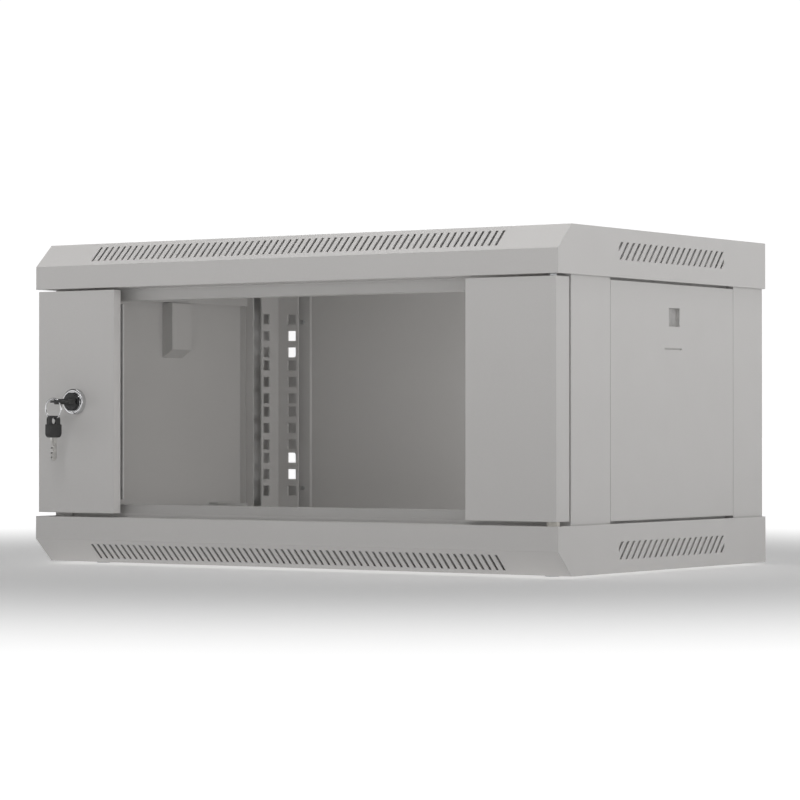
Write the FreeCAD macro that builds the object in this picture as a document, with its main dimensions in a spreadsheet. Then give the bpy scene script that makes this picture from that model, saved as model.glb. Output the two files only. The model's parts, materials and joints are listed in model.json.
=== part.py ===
# Wall mount network cabinet, 19 inch, four rack units, with a glass door and two lift-off side panels.
# Every length is in millimetres. Outlines are drawn from the left face (across), from the front
# face of the trays (back) and from the underside of the floor tray (up); place_in_cabinet then
# puts the origin at the middle of the object's footprint.
import FreeCAD, Part
import Sketcher
import os
import re

doc = FreeCAD.newDocument("network_cabinet")

# Driving dimensions
SIZES = {
    "cabinet_width": 540,
    "cabinet_depth": 350,
    "opening_height": 200,
    "tray_height": 40,
    "band_height": 20,
    "bevel_depth": 20.8,
    "steel": 1.2,
    "running_play": 0.05,
    "fastener_play": 0.3,
    # sides of the prisms that stand for the small screws, rivets and their holes
    "fastener_sides": 12,
    # vent slots of the trays
    "front_slot_count": 64,
    "front_slot_pitch": 6.64,
    "front_slot_width": 2.5,
    "front_slot_rise": 12.6,
    "side_slot_count": 18,
    "side_slot_pitch": 9.487,
    "side_slot_width": 3.6,
    "side_slot_rise": 14.3,
    "side_slot_lean": 12.5,
    "side_slot_margin": 0.9,
    "side_slot_offset": 9.6,
    "side_slot_level": 18.1,
    # cable entries and the covers that close them
    "cable_entry_width": 250,
    "cable_entry_depth": 45,
    "cable_entry_setback": 60,
    "cable_cover_lap": 14,
    "cover_screw_radius": 2,
    "cover_head_radius": 4,
    "cover_head_height": 2.2,
    "cover_slot_length": 7,
    # body frame
    "body_side_gap": 2.5,
    "body_front": 24,
    "front_post_depth": 61.2,
    "front_flange_width": 19.5,
    "post_return_width": 15.5,
    "panel_opening_depth": 209.9,
    "rear_gap": 0.3,
    "rear_flange_width": 44.5,
    "crossbar_lap": 10.8,
    "crossbar_leg": 14.8,
    "side_rail_lap": 5.5,
    # wall fixing slots of the rear posts
    "wall_slot_inset": 24,
    "wall_slot_width": 14,
    "wall_slot_height": 34,
    "wall_slot_spread": 122,
    # back panel
    "back_panel_lap": 13.5,
    "back_panel_joggle": 2,
    "rivet_radius": 2,
    "rivet_head_radius": 4,
    "rivet_head_height": 1.2,
    "rivet_tail_height": 1,
    "rivet_spread": 160,
    # depth bars and 19 inch mounting rails
    "rack_unit": 44.45,
    "rack_units": 4,
    "rack_opening": 450,
    "rack_hole_centres": 465.1,
    "rack_hole_step": 15.875,
    "rack_hole_size": 9.5,
    "rail_steel": 1.5,
    "rail_flange_width": 25,
    "rail_side_depth": 28.5,
    "rail_side_hole": 20.5,
    "front_rail_setback": 58.5,
    "rear_rail_setback": 17.5,
    "bar_height": 30,
    "bar_slot_length": 40,
    "rail_screw_level": 18,
    "rail_screw_radius": 2.5,
    "rail_screw_head_radius": 4.6,
    "rail_screw_head_height": 2.5,
    "rail_nut_radius": 4.6,
    "rail_nut_height": 4,
    "rail_slot_length": 8,
    # floor bolts, whose heads are the feet
    "floor_bolt_edge": 9,
    "floor_bolt_front": 50,
    "floor_bolt_setback": 50,
    "floor_bolt_radius": 3,
    "floor_bolt_length": 9,
    "floor_head_radius": 6,
    "floor_head_height": 2,
    "floor_nut_radius": 5.7,
    "floor_nut_height": 5,
    "floor_slot_length": 10,
    # side panels and their slide latches
    "panel_steel": 1,
    "panel_depth": 7,
    "panel_side_gap": 0.5,
    "panel_end_gap": 2,
    "panel_seat_gap": 0.3,
    "panel_tab_width": 30,
    "panel_tab_spread": 140,
    "panel_tab_reach": 11,
    "panel_tab_gap": 0.5,
    "lance_height": 1.1,
    "latch_box_inset": 89.3,
    "latch_box_width": 29.3,
    "latch_box_height": 50.7,
    "latch_box_depth": 11.5,
    "latch_box_slope": 7.5,
    "latch_box_gap": 0.5,
    "latch_play": 0.3,
    "latch_slab_thickness": 4,
    "latch_slab_height": 28,
    "latch_slab_drop": 16,
    "latch_bridge_height": 10,
    "latch_tongue_thickness": 2,
    "latch_recess_depth": 2.5,
    "finger_hole_inset": 7.5,
    "finger_hole_width": 18.5,
    "finger_hole_drop": 21.9,
    "finger_hole_height": 15.4,
    # glass door
    "door_side_gap": 2.5,
    "door_setback": 1,
    "door_depth": 20,
    "door_top_gap": 2,
    "door_bottom_gap": 3.5,
    "strip_width": 85.3,
    "strip_return": 8,
    "strip_lip": 14,
    "glass_thickness": 4,
    "glass_lap": 11,
    "glass_tape": 1,
    "glass_tape_width": 10,
    "clamp_bar_width": 24,
    "clamp_bar_thickness": 1.5,
    "clamp_bar_inset": 60,
    "clamp_bar_end_gap": 12,
    "clamp_stud_radius": 2,
    "clamp_stud_inset": 65,
    "clamp_stud_spread": 140,
    "clamp_slot_length": 7,
    "clamp_nut_radius": 4,
    "clamp_nut_height": 3.2,
    # hinges
    "hinge_inset": 10,
    "hinge_setback": 9,
    "hinge_pin_radius": 3,
    "hinge_plate_thickness": 2,
    "hinge_plate_width": 15,
    "hinge_plate_reach": 12.8,
    "hinge_washer_radius": 5.25,
    "hinge_washer_gap": 0.1,
    "lower_web_height": 20,
    "lower_pin_height": 12,
    "upper_guide_height": 30,
    "upper_pin_rise": 7,
    "upper_pin_tail": 8,
    "pin_collar_radius": 4.4,
    "pin_collar_height": 3,
    "pin_collar_gap": 0.1,
    "pin_handle_length": 18,
    "pin_handle_thickness": 4,
    "spring_radius": 3.9,
    "spring_wire": 0.8,
    # lock
    "lock_bezel_radius": 11.25,
    "lock_bezel_height": 5,
    "lock_barrel_radius": 9.5,
    "lock_core_radius": 6,
    "lock_nut_radius": 13.5,
    "lock_nut_height": 4,
    "plug_head_radius": 8,
    "plug_head_height": 3,
    "plug_gap": 0.1,
    "cam_gap": 1,
    "cam_play": 0.3,
    "cam_thickness": 2,
    "cam_width": 12,
    "cam_hub_radius": 7,
    "cam_length": 28,
    "cam_screw_radius": 2.5,
    "cam_screw_length": 9,
    "cam_head_radius": 4.25,
    "cam_head_height": 3.5,
    # keys and their ring
    "key_gap": 0.3,
    "key_head_length": 11.6,
    "key_head_width": 17,
    "key_head_thickness": 5,
    "key_head_chamfer": 3,
    "key_tab_reach": 3,
    "key_tab_thickness": 2,
    "key_hole_inset": 4.4,
    "key_hole_radius": 2.8,
    "key_blade_length": 20.7,
    "key_blade_width": 6.5,
    "key_blade_thickness": 2,
    "keyway_play": 0.2,
    "ring_radius": 8.8,
    "ring_wire": 1.2,
    "ring_drop": 6.2,
    "ring_play": 0.45,
}

# Places that follow from the driving dimensions
PLACES = {
    "half_width": "cabinet_width / 2",
    "cabinet_height": "opening_height + 2 * tray_height",
    "mid_level": "cabinet_height / 2",
    "opening_top": "cabinet_height - tray_height",
    "entry_middle": "cabinet_depth - cable_entry_setback",
    "side_slot_middle": "cabinet_depth / 2 + side_slot_offset",
    "post_length": "cabinet_height - 2 * steel",
    "post_web": "body_side_gap + steel",
    "post_back": "cabinet_depth - steel - rear_gap",
    "panel_front": "body_front + front_post_depth",
    "panel_back": "panel_front + panel_opening_depth",
    "flange_edge": "body_side_gap + rear_flange_width",
    "flange_face": "post_back - steel",
    "side_rail_face": "body_side_gap + panel_depth + panel_seat_gap",
    "side_rail_back": "side_rail_face + steel",
    "rail_inner": "(cabinet_width - rack_opening) / 2",
    "rail_outer": "rail_inner - rail_flange_width",
    "rail_base": "steel + rail_steel",
    "floor_bolt_inset": "rail_inner - floor_bolt_edge",
    "floor_bolt_back": "cabinet_depth - floor_bolt_setback",
    "rail_length": "cabinet_height - 2 * rail_base",
    "rack_hole_column": "(cabinet_width - rack_hole_centres) / 2",
    "rear_rail_face": "cabinet_depth - rear_rail_setback",
    "bar_outer": "rail_outer - rail_steel",
    "bar_start": "body_front + 2 * steel",
    "bar_length": "flange_face - steel - bar_start",
    "door_bottom": "tray_height + door_bottom_gap",
    "door_height": "opening_height - door_top_gap - door_bottom_gap",
    "door_top": "door_bottom + door_height",
    "strip_inside": "door_setback + steel",
    "strip_back": "door_setback + door_depth",
    "strip_edge": "door_side_gap + strip_width",
    "lip_front": "door_setback + strip_return",
    "lip_back": "lip_front + steel",
    "glass_front": "lip_back + glass_tape",
    "glass_back": "glass_front + glass_thickness",
    "glass_edge": "strip_edge - glass_lap",
    "clamp_back": "glass_back + clamp_bar_thickness",
    "hinge_across": "cabinet_width - hinge_inset",
    "guide_bottom": "door_top - upper_guide_height",
    "collar_top": "door_top - hinge_plate_thickness - pin_collar_gap",
    "lock_across": "door_side_gap + strip_width / 2",
    "lock_level": "door_bottom + door_height / 2",
    "bezel_face": "door_setback - lock_bezel_height",
    "plug_face": "bezel_face - plug_head_height",
    "cam_face": "body_front + steel + cam_gap",
    "key_hole_back": "plug_face - key_gap - key_head_length - key_tab_reach",
    "key_reach": "key_head_width / 2 - key_hole_back",
    "front_plane": "(key_reach - cabinet_depth) / 2",
    "ring_across": "lock_across - sqrt(ring_radius ^ 2 - ring_drop ^ 2)",
    "ring_level": "lock_level - ring_drop",
    "spare_level": "ring_level - ring_radius + ring_wire / 2 + ring_play - key_hole_radius",
    "panel_inside": "body_side_gap + panel_steel",
    "panel_foot": "tray_height + panel_end_gap",
    "panel_tab_level": "tray_height + side_rail_lap + panel_tab_gap",
    "latch_inner": "panel_inside + latch_box_depth",
    "latch_box_top": "opening_top - side_rail_lap - latch_box_gap",
    "latch_box_level": "latch_box_top - latch_box_height",
    "latch_box_front": "panel_front + latch_box_inset",
    "latch_slab_level": "opening_top - latch_slab_drop - latch_slab_height",
    "finger_hole_front": "latch_box_front + finger_hole_inset",
    "finger_hole_level": "opening_top - finger_hole_drop - finger_hole_height",
    "slab_face": "panel_inside + latch_play",
    "slab_front": "latch_box_front + panel_steel + latch_play",
    "slab_width": "latch_box_width - 2 * panel_steel - 2 * latch_play",
    "tongue_face": "side_rail_back + latch_play",
}

sizes = doc.addObject("Spreadsheet::Sheet", "sizes")
places = doc.addObject("Spreadsheet::Sheet", "places")


def with_sheets(text):
    """The expression with each name of a size or a place led by the sheet that holds it."""
    def lead(match):
        word = match.group()
        if word in SIZES:
            return "sizes." + word
        return "places." + word if word in PLACES else word
    return re.sub(r"[a-z_]+", lead, text)


def in_places(text):
    """The same for a formula that stands in the sheet of places itself."""
    return with_sheets(text).replace("places.", "")


for row, (name, value) in enumerate(SIZES.items(), 1):
    sizes.set("A%d" % row, name)
    sizes.set("B%d" % row, str(value))
    sizes.setAlias("B%d" % row, name)
doc.recompute()
for row, (name, formula) in enumerate(PLACES.items(), 1):
    places.set("A%d" % row, name)
    places.setAlias("B%d" % row, name)
    places.set("B%d" % row, "=" + in_places(formula))
doc.recompute()


def number(text):
    """The value of an expression at the present sizes."""
    return float(sizes.evalExpression(with_sheets(text)))


def bind(item, prop, text):
    item.setExpression(prop, with_sheets(text))


def place_in_cabinet(item, across="0", back="0", up="0"):
    """Bind an item's place, given from the left face, the front face and the floor's underside."""
    bind(item, "Placement.Base.x", "%s - half_width" % across)
    bind(item, "Placement.Base.y", "%s + front_plane" % back)
    bind(item, "Placement.Base.z", "%s + floor_head_height" % up)


# Sketch based bodies
def new_body(label):
    body = doc.addObject("PartDesign::Body", label)
    body.Label = label
    place_in_cabinet(body)
    return body


def new_sketch(body, plane, offset="0"):
    """A sketch on an origin plane of its body, moved by offset along +X, +Y or +Z."""
    support = [item for item in body.Origin.OriginFeatures if item.Role == plane + "_Plane"][0]
    sketch = body.newObject("Sketcher::SketchObject", "sketch")
    sketch.AttachmentSupport = [(support, "")]
    sketch.MapMode = "FlatFace"
    bind(sketch, "AttachmentOffset.Base.z", "-(%s)" % offset if plane == "XZ" else offset)
    return sketch


def looks_forward(sketch):
    """True for a sketch on the XZ plane, whose normal points to -Y."""
    return sketch.AttachmentSupport[0][0].Role == "XZ_Plane"


def pin_point(sketch, geometry, point, across, up):
    for kind, text in (("DistanceX", across), ("DistanceY", up)):
        index = sketch.addConstraint(Sketcher.Constraint(kind, -1, 1, geometry, point, number(text)))
        bind(sketch, "Constraints[%d]" % index, text)


def draw_outline(sketch, corners):
    """A closed outline of straight lines whose corners are pairs of expressions."""
    first = sketch.GeometryCount
    count = len(corners)
    points = [FreeCAD.Vector(number(across), number(up), 0) for across, up in corners]
    for index, point in enumerate(points):
        sketch.addGeometry(Part.LineSegment(point, points[(index + 1) % count]), False)
    for index, (across, up) in enumerate(corners):
        following = first + (index + 1) % count
        sketch.addConstraint(Sketcher.Constraint("Coincident", first + index, 2, following, 1))
        pin_point(sketch, first + index, 1, across, up)
    return sketch


def draw_box(sketch, left, bottom, width, height):
    right = "%s + %s" % (left, width)
    top = "%s + %s" % (bottom, height)
    return draw_outline(sketch, [(left, bottom), (right, bottom), (right, top), (left, top)])


def draw_circle(sketch, across, up, radius):
    centre = FreeCAD.Vector(number(across), number(up), 0)
    circle = sketch.addGeometry(Part.Circle(centre, FreeCAD.Vector(0, 0, 1), number(radius)), False)
    pin_point(sketch, circle, 3, across, up)
    index = sketch.addConstraint(Sketcher.Constraint("Radius", circle, number(radius)))
    bind(sketch, "Constraints[%d]" % index, radius)
    return sketch


def pad(body, sketch, length):
    """Thicken a sketch towards +X, +Y or +Z."""
    feature = body.newObject("PartDesign::Pad", "pad")
    feature.Profile = sketch
    feature.Reversed = looks_forward(sketch)
    bind(feature, "Length", length)
    body.Tip = feature
    doc.recompute()
    return feature


def cut(body, sketch, length=None):
    """Cut a sketch towards +X, +Y or +Z, or through everything both ways when no length is given."""
    before = body.Tip.Shape.Volume
    feature = body.newObject("PartDesign::Pocket", "pocket")
    feature.Profile = sketch
    if length is None:
        feature.Type = "ThroughAll"
        feature.SideType = "Symmetric"
    else:
        feature.Reversed = not looks_forward(sketch)
        bind(feature, "Length", length)
    body.Tip = feature
    doc.recompute()
    if feature.Shape.Volume > before - 1e-6:
        raise ValueError("a pocket of %s cuts nothing" % body.Label)
    return feature


def repeat(body, feature, axis, spacing, count):
    """Repeat a feature along the H_Axis or V_Axis of its sketch."""
    pattern = body.newObject("PartDesign::LinearPattern", "row")
    pattern.Originals = [feature]
    pattern.Direction = (feature.Profile[0], [axis])
    pattern.Mode = "Spacing"
    bind(pattern, "Offset", spacing)
    bind(pattern, "Occurrences", count)
    body.Tip = pattern
    doc.recompute()
    return pattern


# Primitives and booleans
TURNS = {
    "X": FreeCAD.Rotation(FreeCAD.Vector(0, 1, 0), 90),
    "Y": FreeCAD.Rotation(FreeCAD.Vector(1, 0, 0), -90),
    "Z": FreeCAD.Rotation(),
}


def block(label, corner, extent):
    box = doc.addObject("Part::Box", label)
    box.Label = label
    for prop, length in zip(("Length", "Width", "Height"), extent):
        bind(box, prop, length)
    place_in_cabinet(box, *corner)
    return box


def turned(item, label, axis, spot, length):
    """Name an upright primitive, lay it along an axis from spot and bind its length."""
    item.Label = label
    item.Placement.Rotation = TURNS[axis]
    bind(item, "Height", length)
    place_in_cabinet(item, *spot)
    return item


def rod(label, axis, spot, radius, length):
    """A cylinder that starts at spot and runs towards +X, +Y or +Z."""
    cylinder = doc.addObject("Part::Cylinder", label)
    bind(cylinder, "Radius", radius)
    return turned(cylinder, label, axis, spot, length)


def prism(label, axis, spot, radius, length, sides="fastener_sides"):
    """A regular prism, laid like a rod, whose corners lie at radius."""
    solid = doc.addObject("Part::Prism", label)
    bind(solid, "Polygon", sides)
    bind(solid, "Circumradius", radius)
    return turned(solid, label, axis, spot, length)


def joined(label, pieces):
    fuse = doc.addObject("Part::MultiFuse", label)
    fuse.Label = label
    fuse.Shapes = pieces
    return fuse


def less(label, base, tool):
    remainder = doc.addObject("Part::Cut", label)
    remainder.Label = label
    remainder.Base = base
    remainder.Tool = tool
    return remainder


def grouped(label, pieces):
    """Separate solids that make one node."""
    group = doc.addObject("Part::Compound", label)
    group.Label = label
    group.Links = pieces
    return group


def mirrored(label, source, upwards=False):
    """The same piece on the right of the cabinet, or at its top when upwards is true."""
    twin = doc.addObject("Part::Mirroring", label)
    twin.Label = label
    twin.Source = source
    twin.Normal = (0, 0, 1) if upwards else (1, 0, 0)
    if upwards:
        bind(twin, "Base.z", "mid_level + floor_head_height")
    return twin


def on_both_sides(label, pieces):
    """A node of pieces on the left and their twins on the right."""
    left = grouped("left_" + label, pieces)
    return grouped(label, [left, mirrored("right_" + label, left)])


def moved(spot, axis, amount):
    """The spot shifted along an axis; amount begins with its sign."""
    return tuple("%s %s" % (place, amount) if name == axis else place for name, place in zip("XYZ", spot))


def bolt(label, axis, seat, radius, length, head_radius, head_height, head_sides="6", head_last=False):
    """A bolt whose head rests on seat; its shank runs on from there, or back when head_last is true."""
    shank_spot = moved(seat, axis, "- " + length) if head_last else seat
    head_spot = seat if head_last else moved(seat, axis, "- " + head_height)
    shank = prism(label + "_shank", axis, shank_spot, radius, length)
    head = prism(label + "_head", axis, head_spot, head_radius, head_height, head_sides)
    return joined(label, [shank, head])


def nut(label, axis, seat, radius, height, bore):
    """A hexagon nut that starts at seat; radius reaches its corners."""
    blank = prism(label + "_blank", axis, seat, radius, height, "6")
    return less(label, blank, prism(label + "_bore", axis, seat, "%s + running_play" % bore, height))


# Roof and floor trays
def make_tray(label, is_roof):
    """A folded tray with a bevelled front edge; its heights are counted from its closed face."""
    def level(text):
        return "cabinet_height - (%s)" % text if is_roof else text

    def outline(points):
        return [(back, level(height)) for back, height in points]

    bevel_height = "(tray_height - band_height)"
    slant = "(steel * sqrt(bevel_depth ^ 2 + %s ^ 2) / %s)" % (bevel_height, bevel_height)
    slope = "(bevel_depth / %s)" % bevel_height
    tray = new_body("plain_" + label)
    shell = draw_outline(new_sketch(tray, "YZ"), outline([
        ("0", bevel_height), ("bevel_depth", "0"), ("cabinet_depth", "0"),
        ("cabinet_depth", "tray_height"), ("0", "tray_height")]))
    pad(tray, shell, "cabinet_width")
    hollow = draw_outline(new_sketch(tray, "YZ", "steel"), outline([
        ("steel", "%s + (%s - steel) / %s" % (bevel_height, slant, slope)),
        ("bevel_depth + %s - steel * %s" % (slant, slope), "steel"),
        ("cabinet_depth - steel", "steel"), ("cabinet_depth - steel", "tray_height"),
        ("body_front", "tray_height"), ("body_front", "tray_height - steel"),
        ("steel", "tray_height - steel")]))
    cut(tray, hollow, "cabinet_width - 2 * steel")
    cut_front_slots(tray, level, bevel_height)
    cut_side_slots(tray, level("side_slot_level"))
    entry = new_sketch(tray, "XY", "cabinet_height - steel" if is_roof else "0")
    draw_box(entry, "half_width - cable_entry_width / 2", "entry_middle - cable_entry_depth / 2",
             "cable_entry_width", "cable_entry_depth")
    cut(tray, entry, "steel")
    return tray


def cut_front_slots(tray, level, bevel_height):
    """A row of upright slots through the bevel, centred on its slope."""
    left = "half_width - (front_slot_pitch * (front_slot_count - 1) + front_slot_width) / 2"
    right = left + " + front_slot_width"
    low = level("%s / 2 + front_slot_rise / 2" % bevel_height)
    high = level("%s / 2 - front_slot_rise / 2" % bevel_height)
    slot = draw_outline(new_sketch(tray, "XZ"), [(left, low), (right, low), (right, high), (left, high)])
    repeat(tray, cut(tray, slot, "bevel_depth"), "H_Axis", "front_slot_pitch", "front_slot_count")


def cut_side_slots(tray, middle):
    """A row of leaning slots through both side walls, with a clipped slot in each free corner."""
    length = "(side_slot_pitch * (side_slot_count - 1) + side_slot_width + side_slot_lean)"
    front = "side_slot_middle - %s / 2" % length
    back = "side_slot_middle + %s / 2" % length
    low = "%s - side_slot_rise / 2" % middle
    high = "%s + side_slot_rise / 2" % middle
    slot = draw_outline(new_sketch(tray, "YZ"), [
        (front, low), (front + " + side_slot_width", low),
        (front + " + side_slot_width + side_slot_lean", high), (front + " + side_slot_lean", high)])
    repeat(tray, cut(tray, slot, "cabinet_width"), "H_Axis", "side_slot_pitch", "side_slot_count")
    corners = new_sketch(tray, "YZ")
    near_fall = "side_slot_rise * (1 - (side_slot_pitch - side_slot_margin) / side_slot_lean)"
    far_fall = near_fall + " + side_slot_rise * side_slot_width / side_slot_lean"
    for end, edge, sign in ((front, high, "-"), (back, low, "+")):
        clip = "%s %s side_slot_margin" % (end, sign)
        draw_outline(corners, [
            (clip, "%s %s (%s)" % (edge, sign, far_fall)),
            ("%s %s (side_slot_pitch - side_slot_lean - side_slot_width)" % (end, sign), edge),
            ("%s %s (side_slot_pitch - side_slot_lean)" % (end, sign), edge),
            (clip, "%s %s (%s)" % (edge, sign, near_fall))])
    cut(tray, corners, "cabinet_width")


def cover_screw_columns():
    reach = "(cable_entry_width + cable_cover_lap) / 2"
    return ["half_width %s %s" % (sign, reach) for sign in "-+"]


def floor_bolt_spots():
    return [("floor_bolt_inset", "floor_bolt_front"), ("floor_bolt_inset", "floor_bolt_back")]


def make_trays():
    roof = make_tray("roof_cover", True)
    pin_hole = new_sketch(roof, "XY", "opening_top")
    cut(roof, draw_circle(pin_hole, "hinge_across", "hinge_setback", "hinge_pin_radius + running_play"), "steel")
    screw_holes = {}
    for side, level in (("roof", "cabinet_height - steel"), ("floor", "0")):
        screw_holes[side] = [prism("cover_screw_hole", "Z", (across, "entry_middle", level),
                                   "cover_screw_radius + fastener_play", "steel")
                             for across in cover_screw_columns()]
    bolt_holes = [prism("floor_bolt_hole", "Z", spot + ("0",), "floor_bolt_radius + fastener_play", "steel")
                  for spot in floor_bolt_spots()]
    floor_holes = grouped("floor_holes", screw_holes["floor"] + [on_both_sides("floor_bolt_holes", bolt_holes)])
    return [less("roof_cover", roof, grouped("roof_screw_holes", screw_holes["roof"])),
            less("floor_tray", make_tray("floor_tray", False), floor_holes)]


def make_cable_covers():
    """Plates that close the cable entries from inside, with a slotted screw seat at each end."""
    width = "cable_entry_width + 2 * cable_cover_lap"
    depth = "cable_entry_depth + 2 * cable_cover_lap"
    corner = ("half_width - (%s) / 2" % width, "entry_middle - (%s) / 2" % depth, "steel")
    plate = block("cable_cover_plate", corner, (width, depth, "steel"))
    spots = [(across, "entry_middle", "2 * steel") for across in cover_screw_columns()]
    radius = "(cover_screw_radius + fastener_play)"
    slots = [block("cover_slot", (across + " - cover_slot_length / 2", "entry_middle - " + radius, "steel"),
                   ("cover_slot_length", "2 * " + radius, "steel")) for across in cover_screw_columns()]
    screws = [bolt("cover_screw", "Z", spot, "cover_screw_radius", "(2 * steel)", "cover_head_radius",
                   "cover_head_height", head_last=True) for spot in spots]
    lower = less("floor_cable_cover", plate, grouped("cover_slots", slots))
    lower_screws = grouped("lower_cover_screws", screws)
    upper_screws = mirrored("upper_cover_screws", lower_screws, upwards=True)
    return [lower, mirrored("roof_cable_cover", lower, upwards=True),
            grouped("cable_cover_screws", [lower_screws, upper_screws])]


# Corner posts, side rails and front crossbars
def make_front_post():
    post = new_body("front_left_post")
    flange = "body_side_gap + front_flange_width"
    fold = "body_side_gap + post_return_width"
    outline = [
        ("body_side_gap", "body_front"), (flange, "body_front"), (flange, "body_front + steel"),
        ("post_web", "body_front + steel"), ("post_web", "panel_front - steel"),
        (fold, "panel_front - steel"), (fold, "panel_front"), ("body_side_gap", "panel_front")]
    pad(post, draw_outline(new_sketch(post, "XY", "steel"), outline), "post_length")
    return post


def make_rear_post():
    """A post whose wide rear flange has two round-ended slots for the wall fixings."""
    post = new_body("slotless_rear_post")
    fold = "body_side_gap + post_return_width"
    outline = [
        ("body_side_gap", "panel_back"), (fold, "panel_back"), (fold, "panel_back + steel"),
        ("post_web", "panel_back + steel"), ("post_web", "flange_face"),
        ("flange_edge", "flange_face"), ("flange_edge", "post_back"), ("body_side_gap", "post_back")]
    pad(post, draw_outline(new_sketch(post, "XY", "steel"), outline), "post_length")
    run = "(wall_slot_height - wall_slot_width)"
    cuts = [prism("rivet_hole", "Y", moved(spot, "Y", "+ steel"), "rivet_radius", "steel")
            for spot in rivet_spots()]
    for sign in "-+":
        middle = "mid_level %s wall_slot_spread / 2" % sign
        corner = ("wall_slot_inset - wall_slot_width / 2", "flange_face", "%s - %s / 2" % (middle, run))
        straight = block("slot_middle", corner, ("wall_slot_width", "steel", run))
        ends = [rod("slot_end", "Y", ("wall_slot_inset", "flange_face", "%s %s %s / 2" % (middle, end, run)),
                    "wall_slot_width / 2", "steel") for end in "-+"]
        cuts.append(joined("wall_slot", [straight] + ends))
    return less("rear_left_post", post, grouped("rear_post_cuts", cuts))


def make_side_rail():
    """The folded strip between the posts that the edge of a side panel closes against."""
    rail = new_body("lower_left_side_rail")
    top = "tray_height + side_rail_lap"
    outline = [
        ("body_side_gap", "steel"), ("side_rail_back", "steel"), ("side_rail_back", top),
        ("side_rail_face", top), ("side_rail_face", "2 * steel"), ("body_side_gap", "2 * steel")]
    pad(rail, draw_outline(new_sketch(rail, "XZ", "panel_front"), outline), "panel_opening_depth")
    return rail


def make_crossbar():
    bar = new_body("front_lower_crossbar")
    front = "body_front + steel"
    top = "tray_height + crossbar_lap"
    outline = [
        (front, "steel"), (front + " + steel", "steel"), (front + " + steel", top + " - steel"),
        (front + " + crossbar_leg", top + " - steel"), (front + " + crossbar_leg", top), (front, top)]
    pad(bar, draw_outline(new_sketch(bar, "YZ", "post_web"), outline), "cabinet_width - 2 * post_web")
    return bar


def make_body_frame():
    front_post = make_front_post()
    rear_post = make_rear_post()
    side_rail = make_side_rail()
    upper_rail = mirrored("upper_left_side_rail", side_rail, upwards=True)
    crossbar = make_crossbar()
    return [
        front_post, mirrored("front_right_post", front_post), rear_post, mirrored("rear_right_post", rear_post),
        side_rail, mirrored("lower_right_side_rail", side_rail),
        upper_rail, mirrored("upper_right_side_rail", upper_rail),
        crossbar, mirrored("front_upper_crossbar", crossbar, upwards=True)]


# Back panel, joggled so that its middle lies in line with the rear flanges of the posts
def make_back_panel():
    panel = new_body("plain_back_panel")
    left = "flange_edge - back_panel_lap"
    rear = [(left, "flange_face"), ("flange_edge", "flange_face"), ("flange_edge + back_panel_joggle", "post_back")]
    inner = [("flange_edge + 1.5 * back_panel_joggle", "flange_face"),
             ("flange_edge + back_panel_joggle / 2", "flange_face - steel"), (left, "flange_face - steel")]

    def opposite(points):
        return [("cabinet_width - (%s)" % across, back) for across, back in reversed(points)]

    outline = rear + opposite(rear) + opposite(inner) + inner
    pad(panel, draw_outline(new_sketch(panel, "XY", "steel"), outline), "post_length")
    holes = [prism("panel_rivet_hole", "Y", spot, "rivet_radius", "steel") for spot in rivet_spots()]
    return less("back_panel", panel, on_both_sides("panel_rivet_holes", holes))


def rivet_spots():
    """Where the left row of rivets meets the inner face of the back panel."""
    return [("flange_edge - back_panel_lap / 2", "flange_face - steel", "mid_level %s rivet_spread / 2" % sign)
            for sign in "-+"]


def make_rivets():
    rivets = [bolt("rivet", "Y", spot, "rivet_radius", "(2 * steel + rivet_tail_height)", "rivet_head_radius",
                   "rivet_head_height", "fastener_sides") for spot in rivet_spots()]
    return on_both_sides("back_panel_rivets", rivets)


# Depth bars and 19 inch mounting rails
def rail_screw_rows():
    return ["front_rail_setback + rail_side_hole", "rear_rail_face - rail_side_hole"]


def make_depth_bars():
    """Angles on the floor and under the roof; the screws of the rails can be moved along their slots."""
    bar = new_body("plain_depth_bar")
    outline = [
        ("bar_outer", "steel"), ("rail_inner", "steel"), ("rail_inner", "rail_base"),
        ("rail_outer", "rail_base"), ("rail_outer", "steel + bar_height"), ("bar_outer", "steel + bar_height")]
    pad(bar, draw_outline(new_sketch(bar, "XZ", "bar_start"), outline), "bar_length")
    slots = new_sketch(bar, "YZ", "bar_outer")
    radius = "(rail_screw_radius + fastener_play)"
    for back in rail_screw_rows():
        draw_box(slots, back + " - bar_slot_length / 2", "rail_screw_level - " + radius,
                 "bar_slot_length", "2 * " + radius)
    cut(bar, slots, "rail_steel")
    half = "(floor_bolt_radius + fastener_play)"
    bolt_slots = [block("bar_bolt_slot", (across + " - " + half, back + " - floor_slot_length / 2", "steel"),
                        ("2 * " + half, "floor_slot_length", "rail_steel")) for across, back in floor_bolt_spots()]
    lower = less("lower_left_depth_bar", bar, grouped("bar_bolt_slots", bolt_slots))
    upper = mirrored("upper_left_depth_bar", bar, upwards=True)
    return [lower, mirrored("lower_right_depth_bar", lower), upper, mirrored("upper_right_depth_bar", upper)]


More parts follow.
